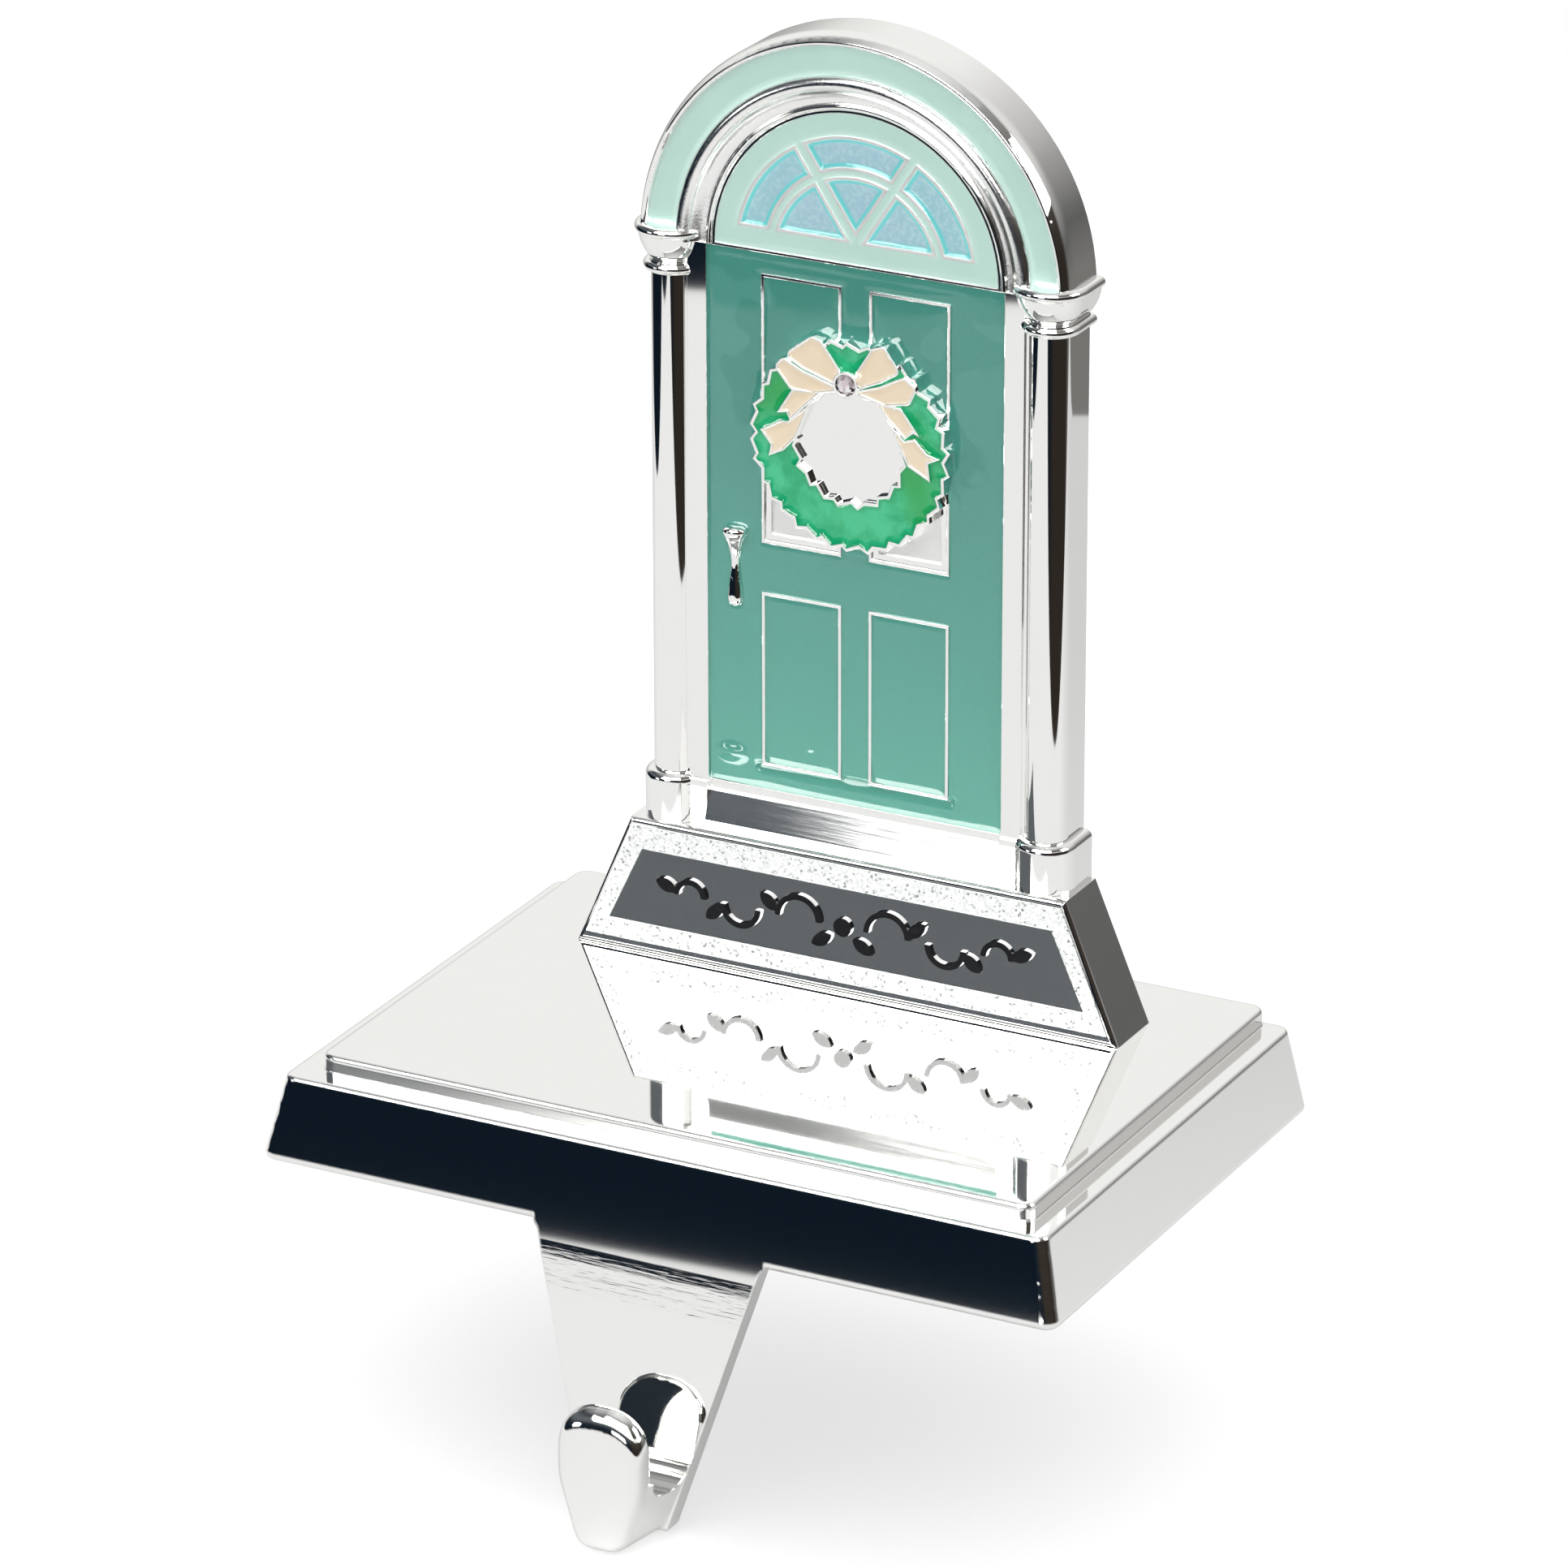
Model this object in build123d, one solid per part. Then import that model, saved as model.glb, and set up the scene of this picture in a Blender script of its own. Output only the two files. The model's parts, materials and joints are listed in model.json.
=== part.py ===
from build123d import *
from math import atan2, cos, pi, radians, sin, tan
import os

# Door-shaped stocking holder, in millimetres. Z is up and the front faces -Y.
# The origin is the middle of the pad's underside, which lies on the mantel.
# A cast base carries the hook arm. A cast figure of a door stands on it, held by
# two screws from below, and its recesses are filled with enamel.

# Base casting
rim_width = 114.3
rim_depth = 76.8
lower_height = 11.6
step_height = 2.3
side_draft = 2.65
front_draft = 2.25
back_draft = 0.8
step_draft = 0.05
shelf = 3.5
wall = 2.4
top_plate = 2.6
base_corner = 2.0
base_edge = 0.6
rim_edge = 0.9
boss_radius = 6.0
boss_height = 2.4

# Pad under the base
pad_thickness = 2.0
pad_proud = 0.5
pad_inset = 1.3
pad_corner = 3.0
pad_clearance = 0.2

# Hook arm, continuing the front wall downwards
arm_thickness = 3.2
arm_top_width = 32.2
arm_taper = 0.285
arm_length = 36.3
arm_lean = 9.3
arm_blend = 4.0
arm_root = 0.4
arm_overlap = 3.0

# Hook at the arm's foot
lip_width = 12.4
lip_thickness = 3.2
lip_height = 19.7
lip_crown = 5.4
lip_nose_height = 3.8
lip_nose_depth = 2.2
lip_edge = 1.1
lip_inner_edge = 0.9
lip_steps = 3
waist_round = 8.0
hook_gap = 5.6
hook_floor = 7.4
hook_inner_round = 2.4
hook_bottom_round = 3.0
hook_drop = 1.0

# Screws that hold the figure
screw_spacing = 44.0
screw_diameter = 4.0
screw_grip = 9.0
screw_head_diameter = 7.6
screw_head_height = 2.5
screw_clearance = 0.2
thread_clearance = 0.02
screw_hole_spare = 1.0

# Figure, measured up from the base top and forward from its flat back
figure_setback = 12.1
pedestal_height = 18.84
pedestal_ledge = 0.55
pedestal_spread = 7.95
pedestal_foot_depth = 9.7
pedestal_head_depth = 9.2
pedestal_edge = 0.7
door_width = 42.6
door_height = 73.9
threshold_height = 6.46
metal_line = 0.4
line_proud = 0.05
slab_depth = 5.6
door_enamel = 0.75
jamb_proud = 0.3
jamb_block_height = 6.2
jamb_block_proud = 0.5
sill_face = 1.25
sill_proud = 1.45
sill_ledge = 1.05

# Columns beside the door
column_width = 5.9
column_depth = 7.7
column_inset = 0.9
foot_block_height = 6.7
foot_block_proud = 1.2
foot_shoulder = 1.05
neck_ring_height = 1.5
neck_ring_proud = 1.0
bell_proud = 1.7
bell_swell = 0.75
cap_ring_height = 1.5
cap_ring_proud = 2.1
capital_height = 6.6
capital_rise = 1.8

# Arch mouldings round the fanlight, by width from the inside outwards
fan_inset = 1.1
fine_bead_width = 0.9
fine_bead_proud = 0.45
cove_width = 1.8
cove_swell = 0.25
inner_bead_width = 2.1
band_width = 3.9
outer_bead_width = 1.6
arch_side_depth = 5.3
bead_depth = 8.2
bead_crest = 0.45
bead_middle = 7.2
bead_shoulder = 0.3
band_floor = 6.8
band_enamel = 0.7

# Fanlight panes: three in an outer ring and three in a half disc
pane_foot = 3.4
pane_margin = 3.4
outer_pane_width = 3.7
ring_bar = 1.65
muntin_width = 2.0
muntin_angle = 56.5
muntin_origin = 2.9
pane_floor_drop = 0.5
pane_sink = 0.3
least_pane_area = 1.0

# Door panels
centre_stile = 4.0
side_stile = 7.8
bottom_rail = 3.3
lower_panel_height = 24.1
middle_rail = 6.8
top_rail = 3.0
panel_step = 0.9
panel_step_drop = 0.3
panel_floor_drop = 0.55

# Wreath in relief: two circles cut into leaf tips
wreath_drop = 23.9
wreath_radius = 14.0
wreath_tooth = 0.35
wreath_teeth = 34
wreath_phase = 0.4
wreath_hole_radius = 7.6
hole_tooth = 0.35
hole_teeth = 20
hole_phase = 1.1
tip_sway = 0.3
tip_range = 0.35
sway_turn = 2.3
range_turn = 1.7
wreath_depth = 8.1
wreath_rim = 0.5
wreath_recess = 0.6
wreath_sink = 0.05
hole_drop = 0.7

# Bow on the wreath: X and Z from the middle of its knot
bow_lift = 8.8
bow_depth = 8.5
bow_rim = 0.27
bow_round = 0.8
bow_recess = 0.35
bow_sink = 0.03
bow_left_loops = [
    [(-1.2, 1.8), (-3.8, 5.2), (-5.3, 5.6), (-9.3, 2.5), (-6.6, 1.0), (-1.2, -0.7)],
    [(-1.2, -0.8), (-6.6, 0.8), (-9.4, 2.2), (-10.6, 0.7), (-8.2, -2.1), (-5.2, -2.2), (-1.4, -1.3)],
]
bow_right_loops = [
    [(1.2, 1.8), (3.4, 5.3), (5.1, 5.9), (7.6, 2.6), (4.7, 0.8), (1.2, -0.7)],
    [(1.2, -0.8), (4.8, 0.5), (8.0, 2.2), (9.9, 0.8), (8.8, -1.5), (5.2, -2.2), (1.4, -1.3)],
]
ribbon_left_tails = [
    [(-8.0, -2.0), (-3.6, -1.6), (-5.6, -3.5), (-8.3, -6.3), (-8.8, -5.2), (-10.2, -5.5)],
    [(-9.6, -6.5), (-8.6, -6.4), (-5.5, -3.7), (-7.4, -8.5), (-9.2, -10.5), (-11.4, -11.6),
     (-11.1, -10.0), (-12.6, -8.2)],
]
ribbon_right_tails = [
    [(4.0, -1.9), (7.6, -2.1), (10.2, -5.5), (9.3, -5.2), (8.1, -6.2), (5.6, -3.9)],
    [(5.6, -4.1), (8.0, -6.4), (9.5, -5.9), (11.4, -7.7), (13.1, -8.1), (11.5, -8.9), (11.8, -11.4),
     (8.6, -9.8)],
]

# Stone set in the bow's knot
stone_radius = 1.42
stone_clearance = 0.03
stone_facets = 8
stone_table = 0.6
stone_crown = 0.55
stone_seat = 0.6
girdle_sink = 0.15
bezel_wall = 0.36
bezel_depth = 9.2

# Pull handle on the left stile
handle_stile = 3.9
handle_drop = 2.6
handle_length = 11.3
handle_tip = 1.0
handle_waist = 0.58
handle_bulb = 1.35
handle_tip_share = 0.18
handle_waist_share = 0.5
handle_bulb_share = 0.82
handle_axis_depth = 6.3

# Front of the pedestal, measured up its slope
plaque_foot = 4.1
plaque_head = 14.7
plaque_foot_margin = 3.17
plaque_head_margin = 3.6
border_margin = 0.9
border_foot = 1.5
border_head = 1.0
border_depth = 0.6
border_sink = 0.08

# Scroll on the plaque: half rings as (place, radius, up or down), leaves as (place, lift, turn)
ornament_depth = 0.45
knob_radius = 1.3
scroll_bar = 0.8
scroll_rings = ((6.5, 3.4, 1), (15.0, 3.0, -1), (22.5, 2.4, 1))
scroll_leaves = ((3.0, -2.2, -30), (10.8, 1.6, 40), (18.8, -1.4, -40), (26.0, 1.0, 20))
leaf_radius = 2.0
leaf_spread = 1.1

# Places that follow from the sizes above
tiny = 0.01
overlap = 0.1
rim_bottom = pad_proud
shelf_height = rim_bottom + lower_height
base_top = shelf_height + step_height
rim_front = -rim_depth / 2
rim_back = rim_depth / 2
cavity_top = base_top - top_plate
figure_back = rim_back - back_draft * (1 + step_height / lower_height) - figure_setback
door_foot = pedestal_height + threshold_height
spring_height = door_foot + door_height
metal_depth = slab_depth + door_enamel + line_proud
fan_radius = door_width / 2 - fan_inset
fine_bead_radius = fan_radius + metal_line
cove_foot = fine_bead_radius + fine_bead_width
cove_radius = cove_foot + cove_width
band_inner = cove_radius + inner_bead_width
band_outer = band_inner + band_width
arch_radius = band_outer + outer_bead_width
column_radius = column_width / 2
column_place = arch_radius - column_inset - column_radius
column_axis = column_depth - column_radius
jamb_width = column_place - column_radius - door_width / 2
pedestal_head_half = column_place + column_radius + foot_block_proud + pedestal_ledge
pedestal_foot_half = pedestal_head_half + pedestal_spread
pane_outer_radius = fan_radius - pane_margin
pane_ring_outer = pane_outer_radius - outer_pane_width
pane_ring_inner = pane_ring_outer - ring_bar
lower_panel_foot = door_foot + bottom_rail
lower_panel_head = lower_panel_foot + lower_panel_height
upper_panel_foot = lower_panel_head + middle_rail
upper_panel_head = spring_height - top_rail
wreath_height = spring_height - wreath_drop
knot_height = wreath_height + bow_lift
bezel_radius = stone_radius + bezel_wall
handle_place = handle_stile - door_width / 2
handle_foot = lower_panel_head - handle_drop


def plan(half_width, front, back, height):
    """A level rectangle given by its half width and its front and back lines."""
    return Pos(0, (front + back) / 2, height) * Rectangle(2 * half_width, back - front)


def upright_edges(solid):
    return solid.edges().filter_by(lambda edge: abs(edge.tangent_at(0.5).Z) > 0.9)


def wall_lines(height, inset=0.0, front_inset=0.0):
    """Half width, front and back of the drafted lower walls at a height, moved inwards."""
    rise = (height - rim_bottom) / lower_height
    half = rim_width / 2 - side_draft * rise - inset
    front = rim_front + front_draft * rise + front_inset
    back = rim_back - back_draft * rise - inset
    return half, front, back


def front_view(sketch, depth_from, depth_to):
    """An outline drawn in X and Z, standing between two depths ahead of the figure's back."""
    return extrude(Plane.XZ.offset(depth_from) * sketch, depth_to - depth_from, dir=(0, -1, 0))


# Base casting with its hook


def lower_tier():
    tier = loft([plan(*wall_lines(rim_bottom), rim_bottom), plan(*wall_lines(shelf_height), shelf_height)])
    tier = fillet(upright_edges(tier), base_corner)
    tier = fillet(tier.faces().sort_by(Axis.Z)[-1].edges(), base_edge)
    return fillet(tier.faces().sort_by(Axis.Z)[0].edges(), rim_edge)


def upper_tier():
    half, front, foot_back = wall_lines(shelf_height)
    head_back = wall_lines(base_top)[2]
    foot = plan(half - shelf, front + shelf, foot_back, shelf_height)
    head = plan(half - shelf - step_draft, front + shelf + step_draft, head_back, base_top)
    tier = fillet(upright_edges(loft([foot, head])), base_corner)
    return fillet(tier.faces().sort_by(Axis.Z)[-1].edges(), base_edge)


def back_flush():
    """Fills the rounded back edge of the lower tier, where both tiers share one wall."""
    half = wall_lines(shelf_height)[0] - shelf - base_corner
    low = shelf_height - 2 * base_edge
    depth = 2 * base_corner
    foot_back = wall_lines(low)[2]
    head_back = wall_lines(shelf_height)[2]
    return loft([plan(half, foot_back - depth, foot_back, low),
                 plan(half, head_back - depth, head_back, shelf_height)])


def arm_front(height):
    """Y of the arm's front face: the wall's draft first, then the arm's own lean."""
    drop = rim_bottom - height
    wall_slope = front_draft / lower_height
    if drop < arm_blend:
        return rim_front - wall_slope * drop
    return rim_front - wall_slope * arm_blend - tan(radians(arm_lean)) * (drop - arm_blend)


def arm_half(height):
    return arm_top_width / 2 - arm_taper * max(rim_bottom - height, 0)


def arm_plate():
    """The tapered plate: its side profile crossed with its front outline."""
    top = rim_bottom + arm_overlap
    bottom = rim_bottom - arm_length
    bend = rim_bottom - arm_blend
    heights = [top, bend, bottom]
    profile = Polygon(*[(arm_front(z), z) for z in heights],
                      *[(arm_front(z) + arm_thickness, z) for z in reversed(heights)], align=None)
    side = extrude(Plane.YZ * profile, arm_top_width, both=True)
    outline = Polygon((arm_half(top) + arm_root, top), (arm_half(top) + arm_root, rim_bottom),
                      (arm_half(rim_bottom - 2 * arm_root), rim_bottom - 2 * arm_root),
                      (arm_half(bottom), bottom), (-arm_half(bottom), bottom),
                      (-arm_half(rim_bottom - 2 * arm_root), rim_bottom - 2 * arm_root),
                      (-arm_half(top) - arm_root, rim_bottom), (-arm_half(top) - arm_root, top), align=None)
    roots = outline.vertices().filter_by(
        lambda v: abs(v.Y - (rim_bottom - 2 * arm_root)) < tiny)
    outline = fillet(roots, 2 * arm_root)
    return side & extrude(Plane.XZ * outline, 3 * rim_depth, both=True)


def hook_levels():
    """Heights at the hook: the arm's foot, the lip's foot, the slot's floor, the waist and the crown."""
    bottom = rim_bottom - arm_length
    foot = bottom - hook_drop
    floor = foot + hook_floor
    return bottom, foot, floor, floor + hook_inner_round, foot + lip_height


def lip_half(height):
    """Half width of the lip: straight above the waist and tapered like the arm below it."""
    waist = hook_levels()[3]
    return lip_width / 2 - arm_taper * max(waist - height, 0)


def lip_outline(drop, inset):
    """The lip seen from the front, with its crown lowered and its sides moved in."""
    _, foot, _, waist, crown = hook_levels()
    top = crown - drop
    low = foot + inset
    right = [(lip_half(z) - inset, z) for z in (top, waist, low)]
    outline = Polygon(*right, *[(-x, z) for x, z in reversed(right)], align=None)
    outline = fillet(outline.vertices().filter_by(lambda v: v.Y > top - tiny), lip_crown - inset)
    outline = fillet(outline.vertices().filter_by(lambda v: abs(v.Y - waist) < tiny), waist_round)
    return fillet(outline.vertices().filter_by(lambda v: v.Y < low + tiny), hook_bottom_round - inset)


def hook_lip(lip_inner):
    """The upturned tongue: outlines that grow to full size behind a long round nose."""
    sections = []
    for step in range(lip_steps + 1):
        turn = pi / 2 * step / lip_steps
        shrink = 1 - sin(turn)
        depth = lip_inner - lip_thickness + lip_nose_depth * (1 - cos(turn))
        outline = lip_outline(lip_nose_height * shrink, lip_edge * shrink)
        sections.append(Plane.XZ.offset(-depth) * outline)
    for step in range(lip_steps, -1, 1 - lip_steps):
        turn = pi / 2 * step / lip_steps
        shrink = 1 - sin(turn)
        depth = lip_inner - lip_inner_edge * (1 - cos(turn))
        outline = lip_outline(lip_inner_edge * shrink, lip_inner_edge * shrink)
        sections.append(Plane.XZ.offset(-depth) * outline)
    return loft(sections)


def hook_neck(lip_inner):
    """The thick turn from the arm to the lip, with the rounded floor of the slot."""
    bottom, foot, floor, waist, _ = hook_levels()
    root = arm_front(bottom) + arm_thickness / 2
    front = Polygon((lip_half(waist), waist), (lip_half(foot), foot), (-lip_half(foot), foot),
                    (-lip_half(waist), waist), align=None)
    front = fillet(front.vertices().filter_by(lambda v: v.Y < foot + tiny), hook_bottom_round)
    back = Polygon((arm_half(waist), waist), (arm_half(bottom), bottom), (-arm_half(bottom), bottom),
                   (-arm_half(waist), waist), align=None)
    back = fillet(back.vertices().filter_by(lambda v: v.Y < bottom + tiny), hook_inner_round)
    block = loft([Plane.XZ.offset(lip_inner_edge - lip_inner) * front, Plane.XZ.offset(-root) * back],
                 ruled=True)
    above = waist + hook_inner_round
    slot = Polygon((lip_inner, above), (lip_inner, floor), (arm_front(floor), floor),
                   (arm_front(above), above), align=None)
    slot = fillet(slot.vertices().filter_by(lambda v: v.Y < floor + tiny), hook_inner_round)
    return block - extrude(Plane.YZ * slot, arm_top_width, both=True)


def base_and_hook():
    body = lower_tier() + upper_tier() + back_flush()
    low = wall_lines(0, wall, arm_thickness)
    high = wall_lines(cavity_top, wall, arm_thickness)
    cavity = loft([plan(*low, 0), plan(*high, cavity_top)])
    cavity = fillet(upright_edges(cavity), base_corner)
    body -= cavity
    for x in (-screw_spacing / 2, screw_spacing / 2):
        body += Pos(x, screw_line(), cavity_top) * Cylinder(
            boss_radius, boss_height, align=(Align.CENTER, Align.CENTER, Align.MAX))
    lip_inner = arm_front(hook_levels()[2]) - hook_gap
    body += arm_plate() + hook_neck(lip_inner) + hook_lip(lip_inner)
    seat = pad_outline(pad_clearance)
    body -= extrude(seat, pad_thickness)
    hole_radius = screw_diameter / 2 + screw_clearance
    for x in (-screw_spacing / 2, screw_spacing / 2):
        body -= Pos(x, screw_line(), 0) * Cylinder(
            hole_radius, 2 * base_top, align=(Align.CENTER, Align.CENTER, Align.MIN))
    return body


def screw_line():
    """Y of the screws, in the middle of the pedestal's thickness."""
    return figure_back - pedestal_foot_depth / 2


def pad_outline(grow):
    half, _, back = wall_lines(rim_bottom, pad_inset)
    front = rim_front + arm_thickness + pad_clearance
    sheet = plan(half + grow, front - grow, back + grow, 0)
    return fillet(sheet.vertices(), pad_corner + grow)


def mantel_pad():
    return extrude(pad_outline(0), pad_thickness)


def figure_screws():
    head_top = cavity_top - boss_height
    shank_length = boss_height + top_plate + screw_grip
    screws = Part()
    for x in (-screw_spacing / 2, screw_spacing / 2):
        head = Pos(x, screw_line(), head_top) * Cylinder(
            screw_head_diameter / 2, screw_head_height, align=(Align.CENTER, Align.CENTER, Align.MAX))
        head = fillet(head.edges().filter_by(GeomType.CIRCLE).sort_by(Axis.Z)[0], screw_head_height / 3)
        shank = Pos(x, screw_line(), head_top) * Cylinder(
            screw_diameter / 2, shank_length, align=(Align.CENTER, Align.CENTER, Align.MIN))
        screws += head + shank
    return screws


# Outlines on the figure's front, drawn in X and Z


def door_rectangle():
    height = spring_height - metal_line / 2 - door_foot
    return Pos(0, door_foot + height / 2) * Rectangle(door_width, height)


def panel(side, foot, head, inset=0.0):
    outer = door_width / 2 - side_stile
    inner = centre_stile / 2
    centre = side * (outer + inner) / 2
    return Pos(centre, (foot + head) / 2) * Rectangle(outer - inner - 2 * inset, head - foot - 2 * inset)


def toothed_circle(radius, tooth, teeth, phase):
    """A circle cut into uneven leaf tips: out at each tip and back in at each notch."""
    points = []
    for i in range(2 * teeth):
        angle = pi * (i + tip_sway * sin(phase + sway_turn * i)) / teeth
        step = tooth if i % 2 else -tooth
        reach = radius + step * (1 + tip_range * sin(phase + range_turn * i))
        points.append((reach * cos(angle), wreath_height + reach * sin(angle)))
    return Polygon(*points, align=None)


def loops(outlines):
    """Each loop of the bow as a face that is round away from the knot, at its height on the door."""
    faces = []
    for points in outlines:
        face = Polygon(*points, align=None)
        bends = face.vertices().filter_by(lambda v: abs(v.X) > bezel_radius)
        faces.append(Pos(0, knot_height) * fillet(bends, bow_round))
    return faces


def tails(outlines):
    """Each ribbon tail as a face with cut corners, at its height on the door."""
    return [Pos(0, knot_height) * make_face(Polyline(*points, close=True)) for points in outlines]


def merged(faces):
    shape = Sketch()
    for face in faces:
        shape += face
    return shape


def knot_circle(radius):
    return Pos(0, knot_height) * Circle(radius)


def bow_outline():
    faces = loops(bow_left_loops + bow_right_loops) + tails(ribbon_left_tails + ribbon_right_tails)
    return merged(faces) + knot_circle(bezel_radius)


def bow_cells():
    """The bow's enamel areas by node, each inside a thin metal rim."""
    areas = {"bow_left": loops(bow_left_loops), "bow_right": loops(bow_right_loops),
             "ribbon_left": tails(ribbon_left_tails), "ribbon_right": tails(ribbon_right_tails)}
    knot = knot_circle(bezel_radius)
    return {name: merged([offset(face, -bow_rim) for face in faces]) - knot for name, faces in areas.items()}


def wreath_outline():
    return toothed_circle(wreath_radius, wreath_tooth, wreath_teeth, wreath_phase)


def wreath_hole():
    return toothed_circle(wreath_hole_radius, hole_tooth, hole_teeth, hole_phase) - bow_outline()


def wreath_cells():
    outer = toothed_circle(wreath_radius - wreath_rim, wreath_tooth, wreath_teeth, wreath_phase)
    inner = toothed_circle(wreath_hole_radius + wreath_rim, hole_tooth, hole_teeth, hole_phase)
    return outer - inner - bow_outline()


def relief_outline():
    return wreath_outline() + bow_outline()


def handle_profile():
    """Right half of the handle, from tip to tip."""
    head = handle_foot + handle_length
    stations = ((handle_tip, handle_tip_share), (handle_waist, handle_waist_share),
                (handle_bulb, handle_bulb_share))
    middle = [(radius, handle_foot + share * handle_length) for radius, share in stations]
    curve = Spline((0, handle_foot), *middle, (0, head), tangents=[(1, 0), (-1, 0)])
    return make_face([curve, Line((0, head), (0, handle_foot))])


def handle_outline():
    half = handle_profile()
    return Pos(handle_place, 0) * (half + mirror(half, Plane.YZ))


def door_field():
    shape = door_rectangle() - relief_outline() - handle_outline()
    for side in (-1, 1):
        shape -= panel(side, lower_panel_foot, lower_panel_head)
        shape -= panel(side, upper_panel_foot, upper_panel_head)
    return shape


def upper_panel_areas(side, inset=0.0):
    """What the wreath leaves of an upper panel: the filled head and the bare foot corner."""
    shape = panel(side, upper_panel_foot, upper_panel_head, inset) - relief_outline()
    areas = sorted(shape.faces(), key=lambda face: face.center().Y)
    return areas[-1], areas[0]


def half_disc(radius, foot):
    """The part of a disc about the arch's centre that lies above a level."""
    disc = Pos(0, spring_height) * Circle(radius)
    above = Rectangle(3 * radius, 2 * radius, align=(Align.CENTER, Align.MIN))
    return disc & (Pos(0, spring_height + foot) * above)


def muntin(angle, grow):
    bar = Rectangle(3 * pane_outer_radius, muntin_width - 2 * grow, align=(Align.MIN, Align.CENTER))
    return Pos(0, spring_height + muntin_origin) * (Rot(0, 0, angle) * bar)


def pane_sketch(inner_radius, outer_radius, index, grow=0.0):
    """One of three panes between two radii: 0 is the right one, 1 the top one, 2 the left one."""
    ring = half_disc(outer_radius + grow, pane_foot - grow)
    if inner_radius > 0:
        ring -= Pos(0, spring_height) * Circle(inner_radius - grow)
    ring -= muntin(muntin_angle, grow)
    ring -= muntin(180 - muntin_angle, grow)
    panes = [face for face in ring.faces() if face.area > least_pane_area]
    panes.sort(key=lambda face: -face.center().X)
    return panes[index]


pane_names = {
    "pane_outer_right": (pane_ring_outer, pane_outer_radius, 0),
    "pane_outer_top": (pane_ring_outer, pane_outer_radius, 1),
    "pane_outer_left": (pane_ring_outer, pane_outer_radius, 2),
    "pane_inner_right": (0, pane_ring_inner, 0),
    "pane_inner_top": (0, pane_ring_inner, 1),
    "pane_inner_left": (0, pane_ring_inner, 2),
}


def fan_field():
    shape = half_disc(fan_radius, metal_line / 2)
    for spec in pane_names.values():
        shape -= pane_sketch(*spec, grow=metal_line)
    return shape


def fan_metal():
    """Thin lines round the panes, level with the enamel's surface."""
    shape = Sketch()
    for spec in pane_names.values():
        shape += pane_sketch(*spec, grow=metal_line) - pane_sketch(*spec)
    return shape


def pedestal_half(height):
    """Half the pedestal's width at a height."""
    return pedestal_foot_half - pedestal_spread * height / pedestal_height


def trapezium(foot_half, head_half, foot, head):
    return Polygon((foot_half, foot), (head_half, head), (-head_half, head), (-foot_half, foot), align=None)


def border_sketch():
    """The frame round the plaque, drawn up the pedestal's slope."""
    head = pedestal_height - border_head
    outer = trapezium(pedestal_half(border_foot) - border_margin, pedestal_half(head) - border_margin,
                      border_foot, head)
    return outer - trapezium(pedestal_half(plaque_foot) - plaque_foot_margin,
                             pedestal_half(plaque_head) - plaque_head_margin, plaque_foot, plaque_head)


def ornament_sketch():
    """A scroll of half rings and leaves, the same to left and right."""
    middle = (plaque_foot + plaque_head) / 2
    shape = Pos(0, middle) * Circle(knob_radius)
    leaf = (Pos(0, leaf_spread) * Circle(leaf_radius)) & (Pos(0, -leaf_spread) * Circle(leaf_radius))
    for side in (-1, 1):
        for place, radius, way in scroll_rings:
            ring = Circle(radius) - Circle(radius - scroll_bar)
            half = ring & (Pos(0, way * radius / 2) * Rectangle(3 * radius, radius))
            shape += Pos(side * place, middle) * half
        for place, lift, turn in scroll_leaves:
            shape += Pos(side * place, middle + lift) * (Rot(0, 0, side * turn) * leaf)
    return shape


# The figure's metal


def pedestal():
    foot = plan(pedestal_foot_half, -pedestal_foot_depth, 0, 0)
    head = plan(pedestal_head_half, -pedestal_head_depth, 0, pedestal_height)
    block = loft([foot, head])
    return fillet(block.faces().sort_by(Axis.Y)[0].edges(), pedestal_edge)


def pedestal_plane():
    """The pedestal's sloping front, with X across and Y up the slope."""
    lean = atan2(pedestal_foot_depth - pedestal_head_depth, pedestal_height)
    return Plane(origin=(0, -pedestal_foot_depth, 0), x_dir=(1, 0, 0), z_dir=(0, -cos(lean), sin(lean)))


def ring_section(foot, height, proud):
    """Half section of a rounded ring that stands proud of the column."""
    reach = column_radius + proud - height / 2
    return (Pos(reach / 2, foot + height / 2) * Rectangle(reach, height)
            + Pos(reach, foot + height / 2) * Circle(height / 2))


def foot_block_section():
    """Half section of a column's foot: a plain block with a round shoulder."""
    half = column_radius + foot_block_proud
    head = pedestal_height + foot_block_height
    shoulder = RadiusArc((half, head - foot_shoulder), (half - foot_shoulder, head), -foot_shoulder)
    return make_face([Polyline((half - foot_shoulder, head), (0, head), (0, pedestal_height),
                               (half, pedestal_height), (half, head - foot_shoulder)), shoulder])


def column_section():
    """Half section of a column, from its foot block to the cap under the arch."""
    foot = pedestal_height
    cap_head = spring_height + capital_rise
    cap_foot = cap_head - capital_height
    cap_ring_foot = cap_head - cap_ring_height
    middle = (foot + cap_head) / 2
    shaft = Pos(column_radius / 2, middle) * Rectangle(column_radius, cap_head - foot)
    bell_foot = cap_foot + neck_ring_height
    bell_head = cap_head - cap_ring_height / 2
    side = ThreePointArc((column_radius, bell_foot),
                         (column_radius + bell_swell * bell_proud, (bell_foot + bell_head) / 2),
                         (column_radius + bell_proud, bell_head))
    bell = make_face([Line((0, bell_foot), (column_radius, bell_foot)), side,
                      Line((column_radius + bell_proud, bell_head), (0, bell_head)),
                      Line((0, bell_head), (0, bell_foot))])
    return (shaft + foot_block_section() + bell
            + ring_section(cap_foot, neck_ring_height, neck_ring_proud)
            + ring_section(cap_ring_foot, cap_ring_height, cap_ring_proud))


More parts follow.
